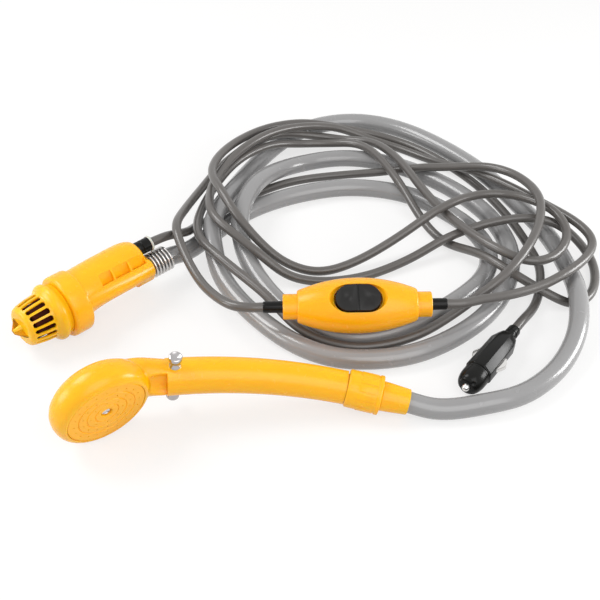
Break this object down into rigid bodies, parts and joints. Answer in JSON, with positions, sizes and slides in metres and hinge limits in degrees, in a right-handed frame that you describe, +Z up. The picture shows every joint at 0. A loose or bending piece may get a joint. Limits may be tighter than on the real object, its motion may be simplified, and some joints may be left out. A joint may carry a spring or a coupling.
{
  "type": "camp shower pump",
  "caption": "Submersible camp shower pump with a coiled hose, a hand shower, an in-line rocker switch and a vehicle plug.",
  "frame": {"origin": "on the floor under the middle of the box round the pump and the handset", "axes": "+X along the handset from the shower head to the hose, +Y from the handset to the coil, +Z up"},
  "size_m": [0.3742, 0.3622, 0.0574],
  "materials": {
    "cap_yellow": "moulded yellow-orange plastic, glossy",
    "pump_yellow": "moulded yellow-orange plastic, satin",
    "handset_yellow": "moulded yellow-orange plastic, glossy",
    "face_yellow": "moulded yellow-orange plastic, satin",
    "nut_yellow": "moulded yellow-orange plastic, satin",
    "switch_yellow": "moulded yellow-orange plastic, satin",
    "black_plastic": "moulded black plastic, satin",
    "rocker_black": "moulded black plastic, fine matt",
    "seal_rubber": "black rubber",
    "pale_plastic": "natural plastic",
    "steel": "bright steel",
    "bright_metal": "nickel plated",
    "brass": "stamped brass",
    "fuse_glass": "glass fuse tube",
    "hose_grey": "smooth soft PVC, light grey",
    "cable_grey": "smooth soft PVC, warm dark grey"
  },
  "bodies": {
    "base": {"pump_body": "pump_yellow", "inlet_plate": "black_plastic", "seal_plate": "pale_plastic", "shaft_seal": "seal_rubber", "motor_can": "steel", "motor_end_cap": "black_plastic", "cable_gland": "black_plastic", "gland_ring": "pale_plastic", "hose_spring": "steel", "handset_body": "handset_yellow", "face_plate": "face_yellow", "face_gasket": "seal_rubber", "face_screw": "steel", "hanger_studs": "bright_metal", "hose_washer": "seal_rubber", "hose_nipple": "pale_plastic", "hose_sleeve": "nut_yellow", "switch_cover": "switch_yellow", "switch_base": "switch_yellow", "rocker_pin": "steel", "switch_terminals": "brass", "switch_screws": "steel", "relief_left": "black_plastic", "relief_right": "black_plastic", "plug_shell_top": "black_plastic", "plug_shell_bottom": "black_plastic", "fuse": "fuse_glass", "plug_relief": "black_plastic", "plug_screw": "steel", "hose_pump": "hose_grey", "hose_coil": "hose_grey", "hose_handset": "hose_grey", "cable_pump": "cable_grey", "cable_switch_coil": "cable_grey", "cable_plug_coil": "cable_grey", "cable_plug": "cable_grey"},
    "strainer": {"strainer_cap": "cap_yellow", "cap_o_ring": "seal_rubber"},
    "rotor": {"impeller": "pale_plastic", "motor_shaft": "steel"},
    "nut": {"coupling_nut": "nut_yellow"},
    "rocker_arm": {"rocker": "rocker_black"},
    "plug_ring": {"plug_nose": "black_plastic"},
    "plug_point": {"plug_tip": "bright_metal", "tip_spring": "steel"},
    "contact_left": {"side_contact_left": "bright_metal"},
    "contact_right": {"side_contact_right": "bright_metal"}
  },
  "joints": [
    {"name": "strainer_twist", "type": "hinge", "parent": "base", "child": "strainer", "pos_m": [-0.11561, 0.00362, 0.02], "axis": [0.7254, 0.6884, 0], "range_deg": [0, 45]},
    {"name": "impeller_spin", "type": "hinge", "parent": "base", "child": "rotor", "pos_m": [-0.08617, 0.03652, 0.0236], "axis": [0.7254, 0.6884, 0], "continuous": true},
    {"name": "nut_turn", "type": "hinge", "parent": "base", "child": "nut", "pos_m": [0.09241, -0.04007, 0.01375], "axis": [0.9733, -0.1532, -0.1709], "continuous": true},
    {"name": "rocker_tilt", "type": "hinge", "parent": "base", "child": "rocker_arm", "pos_m": [0.09061, 0.01474, 0.0354], "axis": [-0.0259, 0.8742, 0.4848], "range_deg": [-7, 7]},
    {"name": "plug_ring_turn", "type": "hinge", "parent": "base", "child": "plug_ring", "pos_m": [0.15089, -0.03298, 0.0082], "axis": [0.5807, 0.8141, 0], "continuous": true},
    {"name": "plug_point_press", "type": "slide", "parent": "base", "child": "plug_point", "axis": [0.5807, 0.8141, 0], "range_m": [0, 0.0025], "stiffness_N_per_m": 600},
    {"name": "contact_left_press", "type": "slide", "parent": "base", "child": "contact_left", "axis": [0.8141, -0.5807, 0], "range_m": [0, 0.0018], "stiffness_N_per_m": 800},
    {"name": "contact_right_press", "type": "slide", "parent": "base", "child": "contact_right", "axis": [-0.8141, 0.5807, 0], "range_m": [0, 0.0018], "stiffness_N_per_m": 800}
  ]
}
